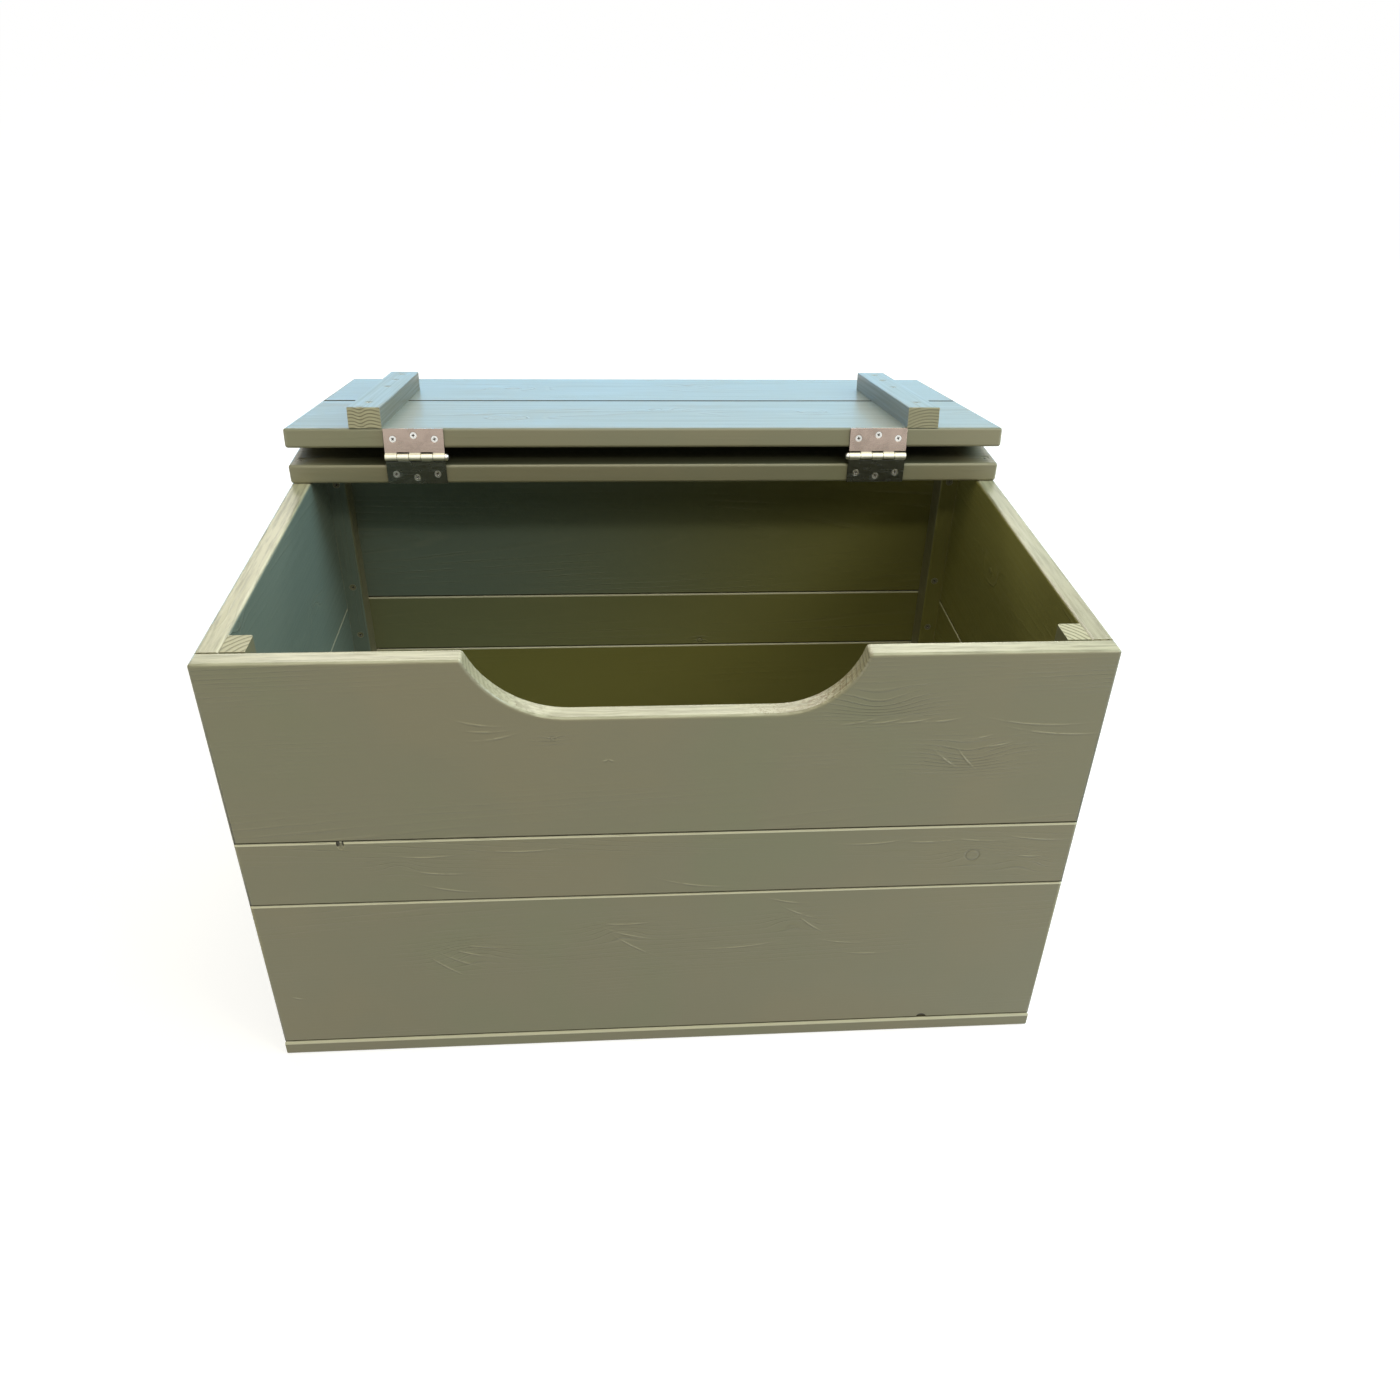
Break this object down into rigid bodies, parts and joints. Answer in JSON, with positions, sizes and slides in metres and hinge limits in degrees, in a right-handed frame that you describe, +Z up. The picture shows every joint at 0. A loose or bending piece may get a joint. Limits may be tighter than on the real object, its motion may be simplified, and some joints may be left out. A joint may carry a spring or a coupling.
{
  "type": "lift-lid storage chest",
  "caption": "Painted tongue-and-groove board chest with a scooped front, corner posts, a fixed rear rail and a battened lid that swings open past level on butt hinges.",
  "frame": {"origin": "middle of the chest's footprint, on the underside of the floor boards", "axes": "+Z up, +Y from the scooped front to the hinged back, +X to the right seen from the front; the lid stands open"},
  "size_m": [0.75, 0.7475, 0.523],
  "materials": {
    "painted_wall_pine": "sage-green semi-gloss paint over pine, grain showing",
    "painted_post_pine": "sage-green semi-gloss paint over pine, end grain on top",
    "painted_rail_pine": "sage-green semi-gloss paint over pine",
    "painted_lid_pine": "sage-green semi-gloss paint over pine",
    "hinge_steel": "plain satin pressed steel",
    "pin_steel": "bright drawn steel",
    "bright_screw_steel": "bright zinc",
    "wood_screw_steel": "bright zinc, painted over in part"
  },
  "bodies": {
    "chest": {"front_top_board": "painted_wall_pine", "front_middle_board": "painted_wall_pine", "front_bottom_board": "painted_wall_pine", "back_top_board": "painted_wall_pine", "back_middle_board": "painted_wall_pine", "back_bottom_board": "painted_wall_pine", "left_top_board": "painted_wall_pine", "left_middle_board": "painted_wall_pine", "left_bottom_board": "painted_wall_pine", "right_top_board": "painted_wall_pine", "right_middle_board": "painted_wall_pine", "right_bottom_board": "painted_wall_pine", "front_left_post": "painted_post_pine", "front_right_post": "painted_post_pine", "rear_left_post": "painted_post_pine", "rear_right_post": "painted_post_pine", "floor_front_board": "painted_wall_pine", "floor_middle_board": "painted_wall_pine", "floor_back_board": "painted_wall_pine", "hinge_rail": "painted_rail_pine", "left_rail_leaf": "hinge_steel", "right_rail_leaf": "hinge_steel", "left_hinge_pin": "pin_steel", "right_hinge_pin": "pin_steel", "rail_leaf_screws": "bright_screw_steel"},
    "lid": {"lid_rear_board": "painted_lid_pine", "lid_front_board": "painted_lid_pine", "lid_left_batten": "painted_lid_pine", "lid_right_batten": "painted_lid_pine", "left_lid_leaf": "hinge_steel", "right_lid_leaf": "hinge_steel", "lid_leaf_screws": "bright_screw_steel"}
  },
  "joints": [
    {"name": "lid_hinge", "type": "hinge", "parent": "chest", "child": "lid", "pos_m": [0, 0.1293, 0.4742], "axis": [1, 0, 0], "range_deg": [0, 189.05]}
  ]
}
